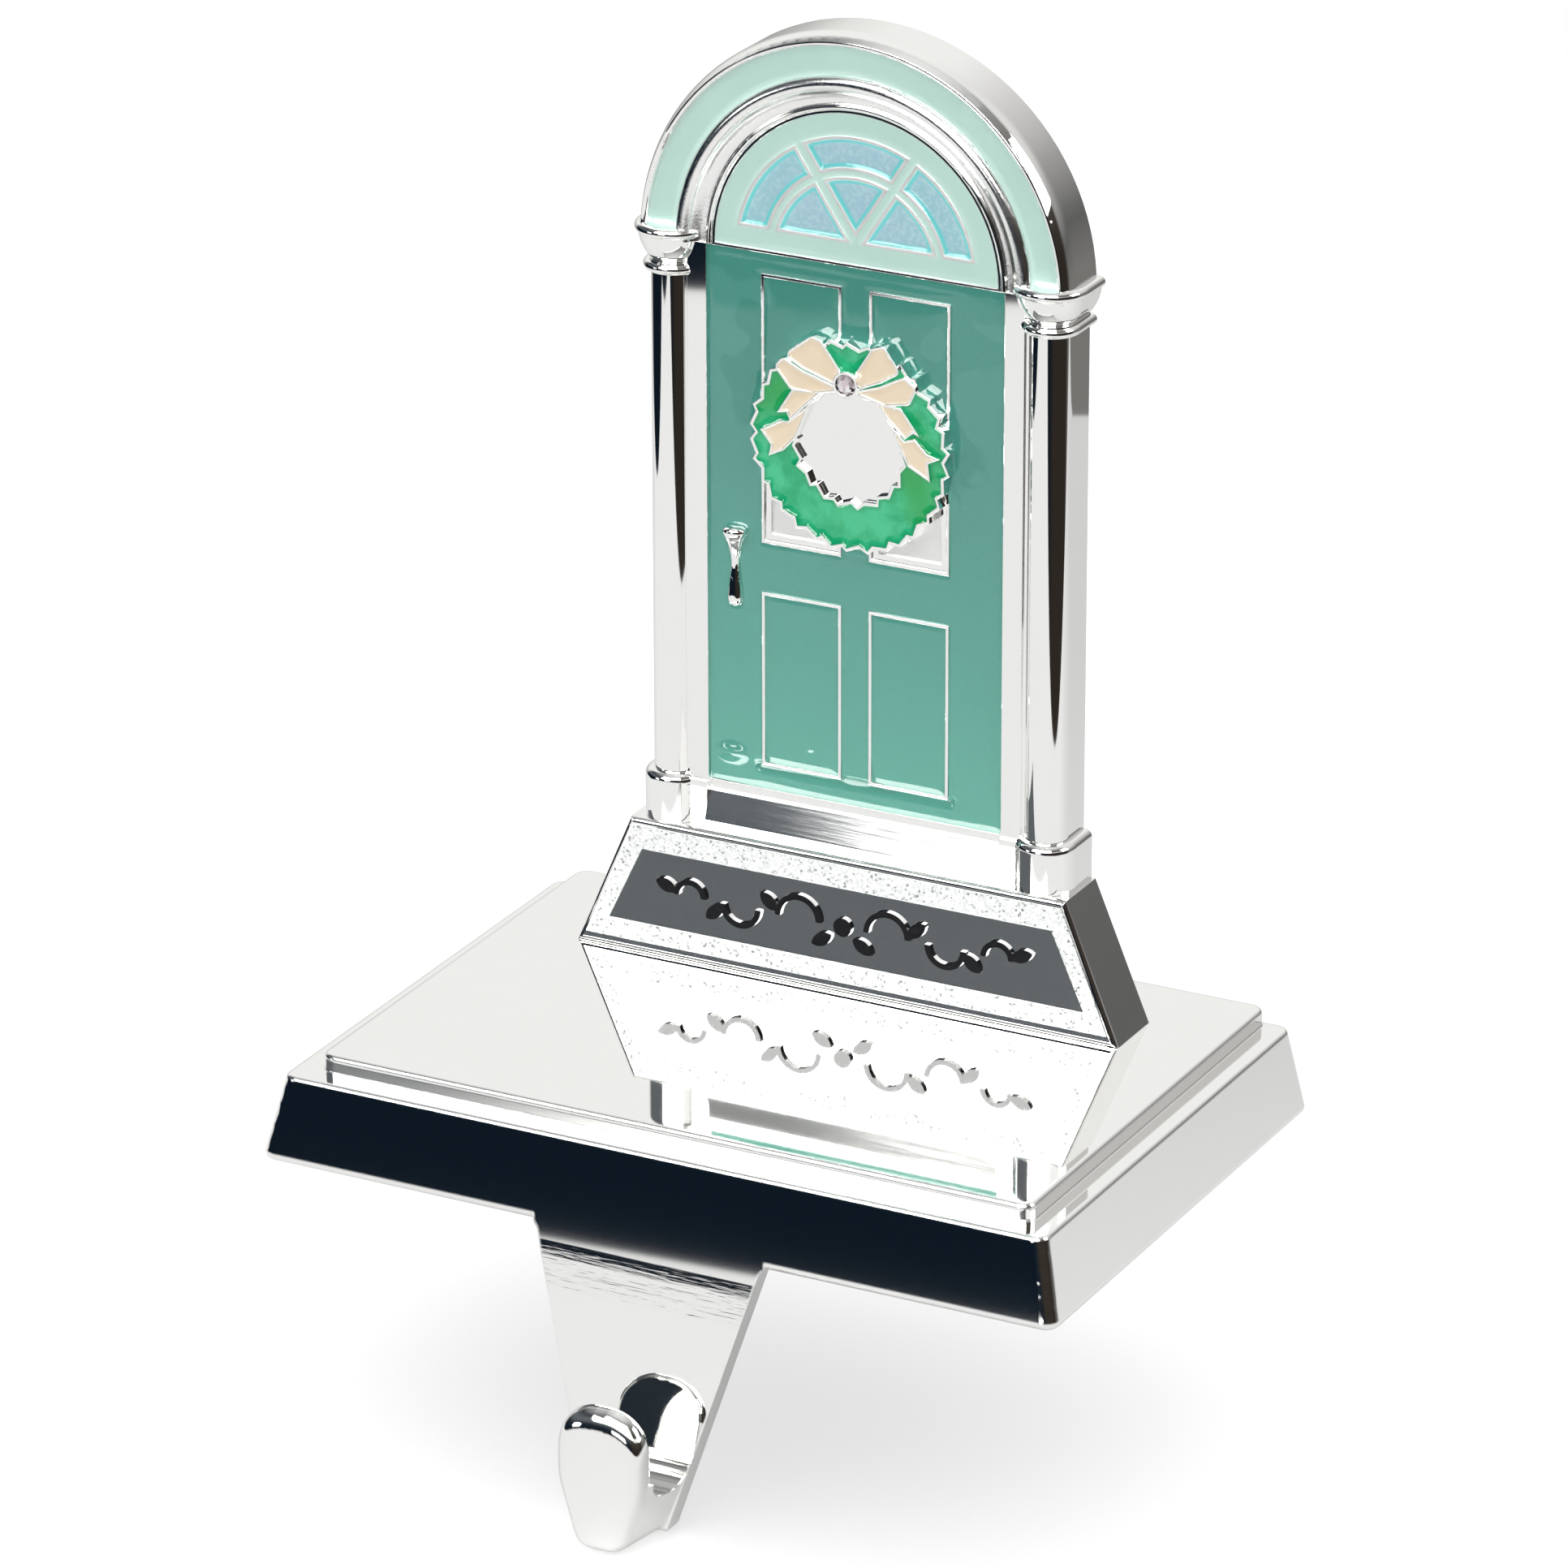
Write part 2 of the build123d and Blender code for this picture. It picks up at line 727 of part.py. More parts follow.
def column():
    """A half-round front on a flat-sided back, both with the same mouldings."""
    section = column_section()
    front = revolve(Plane.XZ * section, Axis((0, 0, 0), (0, 0, 1)), 180)
    front = Rot(0, 0, 180) * front if front.center().Y > 0 else front
    back = extrude(Plane.XZ * (section + mirror(section, Plane.YZ)), -column_axis)
    return Pos(0, -column_axis, 0) * (front + back)


def arch():
    """The round head: two beads, the band's recess, a cove and a fine bead, turned as rings."""
    band_level = -band_floor - band_enamel
    crest = band_outer + bead_crest * outer_bead_width
    inner_middle = (cove_radius + band_inner) / 2
    cove_middle = (cove_foot + cove_radius) / 2
    fine_middle = fine_bead_radius + fine_bead_width / 2
    profile = make_face([
        Polyline((0, 0), (arch_radius, 0), (arch_radius, -arch_side_depth)),
        ThreePointArc((arch_radius, -arch_side_depth), (arch_radius - bead_shoulder, -bead_middle),
                      (crest, -bead_depth)),
        ThreePointArc((crest, -bead_depth), (band_outer + bead_shoulder / 2, -bead_depth + bead_shoulder / 2),
                      (band_outer, band_level)),
        Polyline((band_outer, band_level), (band_outer, -band_floor), (band_inner, -band_floor),
                 (band_inner, band_level)),
        ThreePointArc((band_inner, band_level), (inner_middle, -bead_depth), (cove_radius, band_level)),
        ThreePointArc((cove_radius, band_level), (cove_middle, -metal_depth - cove_swell),
                      (cove_foot, -metal_depth)),
        ThreePointArc((cove_foot, -metal_depth), (fine_middle, -metal_depth - fine_bead_proud),
                      (fine_bead_radius, -metal_depth)),
        Polyline((fine_bead_radius, -metal_depth), (fan_radius, -metal_depth), (fan_radius, -slab_depth),
                 (0, -slab_depth), (0, 0))])
    centre = Plane(origin=(0, 0, spring_height))
    return revolve(centre * profile, Axis((0, 0, spring_height), (0, -1, 0)), 180)


def door_frame():
    """The jambs with their foot blocks, and the sill under the door: a face, a slope and a ledge."""
    jamb_centre = (door_width + jamb_width) / 2
    jamb = Rectangle(jamb_width, door_foot + door_height - pedestal_height, align=(Align.CENTER, Align.MIN))
    block = Rectangle(jamb_width, jamb_block_height, align=(Align.CENTER, Align.MIN))
    frame = Part()
    for side in (-1, 1):
        seat = Pos(side * jamb_centre, pedestal_height)
        frame += front_view(seat * jamb, 0, metal_depth + jamb_proud)
        frame += front_view(seat * block, 0, metal_depth + jamb_proud + jamb_block_proud)
    line_foot = door_foot - metal_line
    sill_front = -metal_depth - sill_proud
    sill = Polygon((0, pedestal_height), (sill_front, pedestal_height),
                   (sill_front, pedestal_height + sill_ledge), (-metal_depth, line_foot - sill_face),
                   (-metal_depth, line_foot), (0, line_foot), align=None)
    return frame + extrude(Plane.YZ * sill, door_width / 2, both=True)


def head_line():
    """The thin line between the door and the fanlight."""
    radius = fan_radius + overlap
    return half_disc(radius, -metal_line / 2) - half_disc(radius, metal_line / 2)


def handle():
    profile = Plane(origin=(0, 0, 0), x_dir=(1, 0, 0), z_dir=(0, -1, 0)) * handle_profile()
    turned = revolve(profile, Axis((0, 0, 0), (0, 0, 1)), 360)
    turned = Pos(handle_place, -handle_axis_depth, 0) * turned
    return turned + front_view(handle_outline(), slab_depth, handle_axis_depth)


def door_figure():
    clear = 3 * metal_depth
    slab = Rectangle(2 * column_place, spring_height - pedestal_height, align=(Align.CENTER, Align.MIN))
    body = front_view(Pos(0, pedestal_height) * slab, 0, metal_depth) + arch() + pedestal() + door_frame()
    for side in (-1, 1):
        body += Pos(side * column_place, 0, 0) * column()
    body += front_view(head_line(), 0, metal_depth)
    body -= front_view(fan_field(), slab_depth, clear)
    body += front_view(fan_metal(), 0, metal_depth)
    for spec in pane_names.values():
        body -= front_view(pane_sketch(*spec), slab_depth - pane_floor_drop, clear)
    body -= front_view(door_field(), slab_depth, clear)
    for side in (-1, 1):
        body -= front_view(panel(side, lower_panel_foot, lower_panel_head, metal_line), slab_depth, clear)
        filled, bare = upper_panel_areas(side, metal_line)
        stepped = upper_panel_areas(side, metal_line + panel_step)[1]
        body -= front_view(filled, slab_depth, clear)
        body -= front_view(bare, metal_depth - panel_step_drop, clear)
        body -= front_view(stepped, metal_depth - panel_floor_drop, clear)
    body += front_view(wreath_outline(), metal_depth - panel_floor_drop, wreath_depth)
    body += front_view(bow_outline(), metal_depth - panel_floor_drop, bow_depth)
    body -= front_view(wreath_hole(), wreath_depth - hole_drop, clear)
    body -= front_view(wreath_cells(), wreath_depth - wreath_recess, wreath_depth)
    for area in bow_cells().values():
        body -= front_view(area, bow_depth - bow_recess, clear)
    body += front_view(knot_circle(bezel_radius), 0, bezel_depth)
    body -= front_view(knot_circle(stone_radius), bezel_depth - stone_seat, clear)
    body += handle()
    body -= extrude(pedestal_plane() * border_sketch(), -border_depth)
    for x in (-screw_spacing / 2, screw_spacing / 2):
        body -= Pos(x, -pedestal_foot_depth / 2, 0) * Cylinder(
            screw_diameter / 2 + thread_clearance, screw_grip + screw_hole_spare,
            align=(Align.CENTER, Align.CENTER, Align.MIN))
    return body


# What fills the figure's recesses


def stone():
    """A cut stone: a table, a crown of facets and a short girdle."""
    seat = bezel_depth - stone_seat
    crown_foot = bezel_depth - girdle_sink
    girdle = Pos(0, knot_height) * RegularPolygon(stone_radius - stone_clearance, stone_facets)
    table = Pos(0, knot_height) * RegularPolygon(stone_table * stone_radius, stone_facets)
    crown = loft([Plane.XZ.offset(crown_foot) * girdle, Plane.XZ.offset(crown_foot + stone_crown) * table])
    return front_view(girdle, seat, crown_foot) + crown


def arch_band():
    ring = half_disc(band_outer, capital_rise) - half_disc(band_inner, capital_rise)
    return front_view(ring, band_floor, band_floor + band_enamel)


def door_enamels():
    """The five green areas, filled to one level."""
    level = slab_depth + door_enamel
    areas = {"door_field": door_field(), "fanlight_field": fan_field()}
    for side, word in ((-1, "left"), (1, "right")):
        areas["panel_upper_" + word] = upper_panel_areas(side, metal_line)[0]
        areas["panel_lower_" + word] = panel(side, lower_panel_foot, lower_panel_head, metal_line)
    return {name: front_view(area, slab_depth, level) for name, area in areas.items()}


def pane_enamels():
    floor = slab_depth - pane_floor_drop
    level = slab_depth + door_enamel - pane_sink
    return {name: front_view(pane_sketch(*spec), floor, level) for name, spec in pane_names.items()}


def bow_enamels():
    floor = bow_depth - bow_recess
    return {name: front_view(area, floor, bow_depth - bow_sink) for name, area in bow_cells().items()}


def figure_nodes():
    nodes = {"door_figure": door_figure(), "stone": stone(), "arch_band": arch_band()}
    nodes.update(door_enamels())
    nodes.update(pane_enamels())
    nodes.update(bow_enamels())
    nodes["wreath_enamel"] = front_view(wreath_cells(), wreath_depth - wreath_recess,
                                        wreath_depth - wreath_sink)
    front = pedestal_plane()
    nodes["glitter_border"] = extrude(front.offset(-border_depth) * border_sketch(),
                                      border_depth - border_sink)
    nodes["plaque_ornament"] = extrude(front * ornament_sketch(), ornament_depth)
    return nodes


def main():
    os.makedirs("parts", exist_ok=True)
    nodes = {"base_and_hook": base_and_hook(), "mantel_pad": mantel_pad(), "figure_screws": figure_screws()}
    for name, solid in figure_nodes().items():
        nodes[name] = Pos(0, figure_back, base_top) * solid
    for name, solid in nodes.items():
        export_step(solid, "parts/" + name + ".step")


main()
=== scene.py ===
"""Looks of the door stocking holder: polished plating, hard enamel and a plain white stage."""

import functools
import json
import math

import bmesh
import bpy
from mathutils import Matrix, Vector, noise
from mathutils.kdtree import KDTree


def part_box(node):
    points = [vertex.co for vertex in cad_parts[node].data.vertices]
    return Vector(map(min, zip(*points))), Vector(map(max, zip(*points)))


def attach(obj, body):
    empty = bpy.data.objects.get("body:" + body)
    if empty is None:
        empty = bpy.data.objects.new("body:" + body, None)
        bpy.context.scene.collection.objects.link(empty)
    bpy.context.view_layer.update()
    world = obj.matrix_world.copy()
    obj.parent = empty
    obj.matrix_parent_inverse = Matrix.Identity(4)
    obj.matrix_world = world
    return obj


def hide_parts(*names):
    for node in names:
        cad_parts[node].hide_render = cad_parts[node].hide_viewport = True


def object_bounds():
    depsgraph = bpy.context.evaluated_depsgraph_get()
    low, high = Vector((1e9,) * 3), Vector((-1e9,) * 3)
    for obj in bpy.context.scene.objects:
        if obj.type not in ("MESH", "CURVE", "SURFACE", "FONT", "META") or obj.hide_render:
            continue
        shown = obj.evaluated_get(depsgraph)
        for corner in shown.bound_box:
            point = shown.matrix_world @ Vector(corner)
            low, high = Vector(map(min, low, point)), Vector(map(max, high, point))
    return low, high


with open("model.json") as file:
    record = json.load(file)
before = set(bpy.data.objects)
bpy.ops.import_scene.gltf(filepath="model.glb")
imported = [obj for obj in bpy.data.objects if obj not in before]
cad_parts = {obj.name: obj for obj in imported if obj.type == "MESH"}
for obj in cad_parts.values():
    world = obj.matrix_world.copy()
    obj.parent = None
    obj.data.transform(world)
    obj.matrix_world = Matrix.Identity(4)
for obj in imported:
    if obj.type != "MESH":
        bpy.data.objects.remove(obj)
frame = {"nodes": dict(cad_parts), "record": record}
cad_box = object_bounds()
nodes = frame["nodes"]
MM = 0.001

# Camera, set at the photo's viewing angle
camera_azimuth = 27.55
camera_elevation = 22.14
camera_roll = -0.09
camera_distance = 1.138
camera_target = Vector((-0.00168, 0.002375, 0.04844))
focal_pixels = 10941.0
photo_pixels = 1932.0
sensor_mm = 36.0

# Stage: a white table top with dark studio beyond its edges
floor_gap = 0.3 * MM
table_edges = ((59.0, 0.252), (-75.0, 0.35), (-20.0, 0.425), (150.0, 0.39))
table_reach = 2.0
plain_light = 0.88
floor_colour = 0.8
camera_glow = 0.52
mirror_glow = (0.165, -0.05)
glow_fade = (0.0, 0.26)

# Lamps that only mirrors see: (azimuths, elevations, strength), in degrees
lamps = (
    ((-34.0, 42.0), (22.6, 53.0), 10.0),
    ((84.0, 112.0), (18.0, 46.0), 6.0),
    ((-52.0, -40.0), (3.0, 8.0), 9.0),
    ((-16.0, 2.0), (3.0, 8.5), 9.0),
    ((43.0, 84.0), (19.5, 26.0), 1.0),
)
lamp_edge = 0.7

# Where the room's sides blend, as parts of a direction: the warm side, the wall behind and the
# wall's right half
warm_from = (0.15, 0.6)
back_from = (0.12, 0.42)
right_from = (-0.12, 0.3)

# Places on the figure, from the frame
base_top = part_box("door_figure")[0].z
spring_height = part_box("fanlight_field")[0].z - 0.2 * MM
door_low, door_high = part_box("door_field")
wreath_low, wreath_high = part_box("wreath_enamel")
wreath_centre = (wreath_low + wreath_high) / 2
panel_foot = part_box("panel_lower_left")[0].z
panel_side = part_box("panel_upper_right")[1].x

# Where the plating is matt or brushed: the figure's front with its bare corners, cove, pane lines
# and sill, and the top of the arm
mask_back = 22.5 * MM
mask_edge = 0.1 * MM
bare_low = base_top + 60.8 * MM
bare_high = base_top + 69.0 * MM
bare_side = panel_side - 0.8 * MM
bare_floor = 19.4 * MM
cove_ring = (21.4 * MM, 25.3 * MM)
pane_ring = (20.1 * MM, 19.9 * MM)
sill_low = base_top + 19.9 * MM
sill_high = base_top + 24.2 * MM
sill_side = 24 * MM
arm_low, arm_high = -8 * MM, -2.5 * MM
polish = 0.03

# Poured enamel: dip at its walls, width of the dip, waves and cell of the finer mesh, in mm
pours = {
    "door_field": (0.12, 1.0, 0.10, 0.4),
    "fanlight_field": (0.10, 0.7, 0.04, 0.5),
    "arch_band": (0.14, 1.0, 0.05, 0.5),
    "wreath_enamel": (-0.12, 0.8, 0.12, 0.35),
}
for hand in ("left", "right"):
    pours["panel_upper_" + hand] = (0.12, 1.0, 0.06, 0.5)
    pours["panel_lower_" + hand] = (0.12, 1.0, 0.05, 0.55)
    pours["bow_" + hand] = pours["ribbon_" + hand] = (0.08, 0.7, 0.02, 0.3)
for hand in ("left", "top", "right"):
    pours["pane_outer_" + hand] = pours["pane_inner_" + hand] = (-0.35, 0.9, 0.05, 0.3)
wave_pitch = 9.0 * MM
outline_pitch = 0.15 * MM
front_slack = 0.01 * MM
enamel_roughness = 0.045
enamel_index = 1.6
enamel_grain = 0.05

# The door's enamel climbs the wreath, below it only along the middle stile, and sinks under the
# lower panels
climb = 0.36 * MM
climb_reach = 1.2 * MM
wreath_reach = 14.3 * MM
stile_half = 2 * MM
foot_dip = 0.6 * MM
foot_reach = 1.35 * MM
foot_line = 0.4 * MM
foot_band = (2.2 * MM, 0.3 * MM)
foot_side = panel_side + 1.2 * MM
foot_curve = 1.3

# Drops in the enamel: side, height above the base, half width, half height, rise, in mm
drops = ((-17.9, 29.6, 2.7, 1.5, 0.56), (-6.4, 32.2, 0.9, 0.6, 0.2))


def direction(azimuth, elevation=0.0):
    """A unit vector; azimuth 0 is towards -Y and 90 towards +X, in degrees."""
    a = math.radians(azimuth)
    e = math.radians(elevation)
    return Vector((math.sin(a) * math.cos(e), -math.cos(a) * math.cos(e), math.sin(e)))


# Node helpers


class Graph:
    """A small wrapper that adds shader nodes and links them by name."""

    def __init__(self, tree):
        self.tree = tree
        tree.nodes.clear()

    def node(self, kind, inputs=None, **settings):
        made = self.tree.nodes.new("ShaderNode" + kind)
        for name, value in settings.items():
            setattr(made, name, value)
        for name, value in (inputs or {}).items():
            socket = made.inputs[name]
            if isinstance(value, bpy.types.NodeSocket):
                self.tree.links.new(value, socket)
            else:
                socket.default_value = value
        return made

    def math(self, operation, a, b=0.0):
        return self.node("Math", {0: a, 1: b}, operation=operation).outputs[0]

    def add(self, *values):
        return functools.reduce(lambda a, b: self.math("ADD", a, b), values)

    def times(self, *values):
        return functools.reduce(lambda a, b: self.math("MULTIPLY", a, b), values)

    def ramp(self, value, *stops):
        """A colour ramp through stops, each a place and a red, green and blue from 0 to 255."""
        made = self.node("ValToRGB", {"Fac": value})
        elements = made.color_ramp.elements
        while len(elements) < len(stops):
            elements.new(1.0)
        for element, (place, *colour) in zip(elements, stops):
            element.position = place
            element.color = srgb(*colour)
        return made.outputs["Color"]

    def step(self, value, low, high):
        return self.node("MapRange", {"Value": value, "From Min": low, "From Max": high},
                         interpolation_type="SMOOTHSTEP").outputs[0]

    def mix(self, factor, a, b):
        made = self.node("Mix", data_type="RGBA")
        for index, value in ((0, factor), (6, a), (7, b)):
            if isinstance(value, bpy.types.NodeSocket):
                self.tree.links.new(value, made.inputs[index])
            else:
                made.inputs[index].default_value = value
        return made.outputs[2]

    def place(self):
        return self.node("TexCoord").outputs["Object"]

    def axes(self):
        split = self.node("SeparateXYZ", {"Vector": self.place()})
        return [split.outputs[i] for i in range(3)]

    def rim(self):
        """1 at the walls of a poured fill, falling to 0 where its dip ends."""
        return self.node("Attribute", attribute_name="rim").outputs["Fac"]

    def noise(self, scale, detail=2.0, roughness=0.5, place=None):
        inputs = {"Vector": place or self.place(), "Scale": scale, "Detail": detail,
                  "Roughness": roughness}
        return self.node("TexNoise", inputs).outputs["Fac"]

    def streaks(self, along, across):
        """Brushed streaks along X, with their scales along and across."""
        inputs = {"Vector": self.place(), "Scale": (along, 1.0, across)}
        return self.noise(1.0, 3.0, 0.6, self.node("Mapping", inputs).outputs[0])

    def cells(self, scale, output):
        return self.node("TexVoronoi", {"Vector": self.place(), "Scale": scale}).outputs[output]

    def cell_tone(self, scale):
        return self.node("SeparateColor", {"Color": self.cells(scale, "Color")}).outputs[0]

    def window(self, value, low, high, edge):
        """1 where a value is between two limits, with soft edges, and 0 elsewhere."""
        return self.times(self.step(value, low - edge, low + edge),
                          self.step(value, high + edge, high - edge))

    def bump(self, height, distance, strength=1.0, normal=None):
        inputs = {"Height": height, "Distance": distance, "Strength": strength}
        if normal is not None:
            inputs["Normal"] = normal
        return self.node("Bump", inputs).outputs[0]

    def finish(self, shader, kind="Material"):
        output = self.node("Output" + kind)
        self.tree.links.new(shader, output.inputs["Surface"])

    def surface(self, tint, roughness, **inputs):
        """Ends a material with a principled surface."""
        named = {"Base Color": tint, "Roughness": roughness, **inputs}
        self.finish(self.node("BsdfPrincipled", named).outputs[0])


def rgba(*colour):
    return (*colour, 1.0)


def grey(level):
    return rgba(level, level, level)


def srgb(red, green, blue):
    """A linear colour from 0 to 255 values."""
    parts = [v / 255 for v in (red, green, blue)]
    return rgba(*[v / 12.92 if v <= 0.04045 else ((v + 0.055) / 1.055) ** 2.4 for v in parts])


def material(name):
    made = bpy.data.materials.new(name)
    made.use_nodes = True
    return made, Graph(made.node_tree)


def dress(obj, made):
    """Gives a piece one material."""
    obj.data.materials.clear()
    obj.data.materials.append(made)


# Stage, light and camera


def make_camera():
    back = direction(camera_azimuth, camera_elevation)
    level = direction(camera_azimuth + 90)
    up = back.cross(level)
    roll = math.radians(camera_roll)
    right = math.cos(roll) * level + math.sin(roll) * up
    up = math.cos(roll) * up - math.sin(roll) * level
    data = bpy.data.cameras.new("camera")
    data.sensor_width = sensor_mm
    data.lens = focal_pixels / photo_pixels * sensor_mm
    data.clip_start = 0.01
    data.clip_end = 50.0
    camera = bpy.data.objects.new("camera", data)
    camera.matrix_world = Matrix.Translation(camera_target + camera_distance * back) @ Matrix(
        (right, up, back)).transposed().to_4x4()
    bpy.context.collection.objects.link(camera)
    bpy.context.scene.camera = camera


def make_world():
    """White to the camera; mirrors see a dark studio with lamps in front and a pale wall behind."""
    world = bpy.data.worlds.new("studio")
    bpy.context.scene.world = world
    world.use_nodes = True
    world.cycles.sampling_method = "NONE"
    g = Graph(world.node_tree)
    split = g.node("SeparateXYZ", {"Vector": g.node("TexCoord").outputs["Generated"]})
    x, y, z = (split.outputs[i] for i in range(3))
    rise = g.node("MapRange", {"Value": z, "From Min": -1.0, "From Max": 1.0}).outputs[0]
    elevation = g.times(g.math("ARCSINE", z), math.degrees(1))
    azimuth = g.times(g.math("ARCTAN2", x, g.times(y, -1.0)), math.degrees(1))
    cold = g.ramp(rise, (0.0, 14, 20, 28), (0.49, 15, 25, 36), (0.58, 36, 44, 52),
                  (0.65, 96, 101, 106), (0.70, 98, 102, 106), (0.80, 60, 64, 68),
                  (0.93, 150, 152, 152), (1.0, 235, 235, 234))
    warm = g.ramp(rise, (0.0, 44, 39, 34), (0.5, 46, 41, 36), (0.60, 60, 55, 50),
                  (0.80, 84, 80, 76), (0.93, 150, 150, 148), (1.0, 235, 235, 234))
    right = g.ramp(rise, (0.40, 120, 118, 116), (0.50, 96, 96, 96), (0.53, 108, 108, 107),
                   (0.637, 160, 159, 158), (0.72, 204, 203, 202), (0.78, 220, 219, 218),
                   (1.0, 240, 240, 239))
    left = g.ramp(rise, (0.40, 170, 168, 166), (0.50, 190, 190, 189), (0.60, 228, 228, 226),
                  (0.69, 243, 243, 242), (1.0, 246, 246, 245))
    front = g.mix(g.step(x, *warm_from), cold, warm)
    back = g.mix(g.step(x, *right_from), left, right)
    room = g.mix(g.step(y, *back_from), front, back)
    glow = None
    for (west, east), (low, high), strength in lamps:
        lamp = g.times(g.window(azimuth, west, east, lamp_edge),
                       g.window(elevation, low, high, lamp_edge), strength)
        glow = g.math("MAXIMUM", glow, lamp) if glow else lamp
    lamp_light = g.node("CombineXYZ", {0: glow, 1: glow, 2: glow}).outputs[0]
    mirrored = g.node("Mix", data_type="RGBA", blend_type="LIGHTEN")
    mirrored.inputs[0].default_value = 1.0
    g.tree.links.new(room, mirrored.inputs[6])
    g.tree.links.new(lamp_light, mirrored.inputs[7])
    path = g.node("LightPath")
    lit = g.mix(path.outputs["Is Glossy Ray"], grey(plain_light), mirrored.outputs[2])
    seen = g.mix(path.outputs["Is Camera Ray"], lit, grey(1))
    g.finish(g.node("Background", {"Color": seen, "Strength": 1.0}).outputs[0], "World")


def table_outline():
    """Corners of the table top: a wide square, cut along each edge line."""
    r = table_reach
    corners = [Vector((-r, -r)), Vector((r, -r)), Vector((r, r)), Vector((-r, r))]
    for azimuth, reach in table_edges:
        outward = direction(azimuth).xy
        kept = []
        for a, b in zip(corners, corners[1:] + corners[:1]):
            da, db = a.dot(outward) - reach, b.dot(outward) - reach
            if da <= 0:
                kept.append(a)
            if (da <= 0) != (db <= 0):
                kept.append(a.lerp(b, da / (da - db)))
        corners = kept
    return corners


def make_floor():
    level = cad_box[0].z - floor_gap
    low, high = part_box("door_figure")
    middle = (low.y + high.y) / 2
    mesh = bpy.data.meshes.new("floor")
    corners = [(c.x, middle + c.y, level) for c in table_outline()]
    mesh.from_pydata(corners, [], [list(range(len(corners)))])
    floor = bpy.data.objects.new("floor", mesh)
    bpy.context.collection.objects.link(floor)
    made, g = material("floor_white")
    path = g.node("LightPath")
    fade = g.node("MapRange", {"Value": g.axes()[1],
                               "From Min": glow_fade[0], "From Max": glow_fade[1],
                               "To Min": mirror_glow[0], "To Max": mirror_glow[1]}).outputs[0]
    seen = g.math("MAXIMUM", path.outputs["Is Camera Ray"], path.outputs["Is Transmission Ray"])
    mirrored = g.times(path.outputs["Is Glossy Ray"], fade)
    strength = g.add(g.times(seen, camera_glow), mirrored)
    plain = g.node("BsdfDiffuse", {"Color": grey(floor_colour)})
    glow = g.node("Emission", {"Color": grey(1), "Strength": strength})
    both = g.node("AddShader", {0: plain.outputs[0], 1: glow.outputs[0]})
    g.finish(both.outputs[0])
    dress(floor, made)


# Poured enamel


def front_outline(bm, faces, corners):
    """A search tree of points along the edge where the front meets its side walls."""
    points = []
    for edge in bm.edges:
        if all(v in corners for v in edge.verts) and any(f not in faces for f in edge.link_faces):
            a, b = (Vector((v.co.x, v.co.z, 0)) for v in edge.verts)
            count = 1 + int((b - a).length / outline_pitch)
            points += [a.lerp(b, i / count) for i in range(count)]
    tree = KDTree(len(points))
    for i, point in enumerate(points):
        tree.insert(point, i)
    tree.balance()
    return tree


def door_depth(x, z, gap, dip, reach):
    """Depth of the door's enamel: it climbs the wreath's wall and sinks under the lower panels."""
    ring = (Vector((x, z)) - wreath_centre.xz).length - wreath_reach
    below = panel_foot - z
    if ring < climb_reach and not (z < wreath_low.z and abs(x) > stile_half):
        return -climb * min(1.0, 1 - ring / climb_reach) ** 2
    if foot_band[1] < below < foot_band[0] and abs(x) < foot_side:
        return foot_dip * min(1.0, max(0.0, 1 - (below - foot_line) / foot_reach)) ** foot_curve
    return dip * max(0.0, 1 - gap / reach) ** 2


def drop_height(x, z):
    """How far the drops raise the enamel at a place."""
    total = 0.0
    for side, height, wide, high, rise in drops:
        far = math.hypot((x / MM - side) / wide, ((z - base_top) / MM - height) / high)
        total += rise * MM * max(0.0, 1 - far * far) ** 2
    return total


def poured(name, made):
    """A finer copy of an enamel fill, dipped at its walls and lying in soft waves."""
    dip, reach, swell, cell = (v * MM for v in pours[name])
    source = nodes[name]
    bm = bmesh.new()
    bm.from_mesh(source.data)
    rim = bm.verts.layers.float.new("rim")
    bm.transform(source.matrix_world)
    bmesh.ops.remove_doubles(bm, verts=bm.verts, dist=1e-6)
    low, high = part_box(name)
    for axis in (0, 2):
        count = max(2, round((high[axis] - low[axis]) / cell))
        across = Vector((axis == 0, 0, axis == 2))
        for i in range(1, count):
            place = low + (high - low) * i / count
            bmesh.ops.bisect_plane(bm, geom=bm.verts[:] + bm.edges[:] + bm.faces[:], dist=1e-7,
                                   plane_co=place, plane_no=across)
    bm.normal_update()
    faces = {f for f in bm.faces
             if f.normal.y < -0.99 and f.calc_center_median().y < low.y + front_slack}
    corners = {v for f in faces for v in f.verts}
    tree = front_outline(bm, faces, corners)
    for v in corners:
        x, z = v.co.x, v.co.z
        gap = tree.find(Vector((x, z, 0)))[2]
        inside = min(1.0, gap / reach)
        if name == "door_field":
            depth = door_depth(x, z, gap, dip, reach)
        else:
            depth = dip * (1 - inside) ** 2
        wave = 0.5 + 0.5 * noise.noise(Vector((x, 0.0, z)) / wave_pitch)
        v[rim] = 1 - inside
        v.co.y += depth + swell * wave * inside - drop_height(x, z) * inside
    for f in bm.faces:
        f.smooth = f in faces
    mesh = bpy.data.meshes.new(name + "_fill")
    bm.to_mesh(mesh)
    bm.free()
    piece = bpy.data.objects.new(name + "_fill", mesh)
    bpy.context.collection.objects.link(piece)
    dress(piece, made)
    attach(piece, "root")
    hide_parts(name)


# Materials


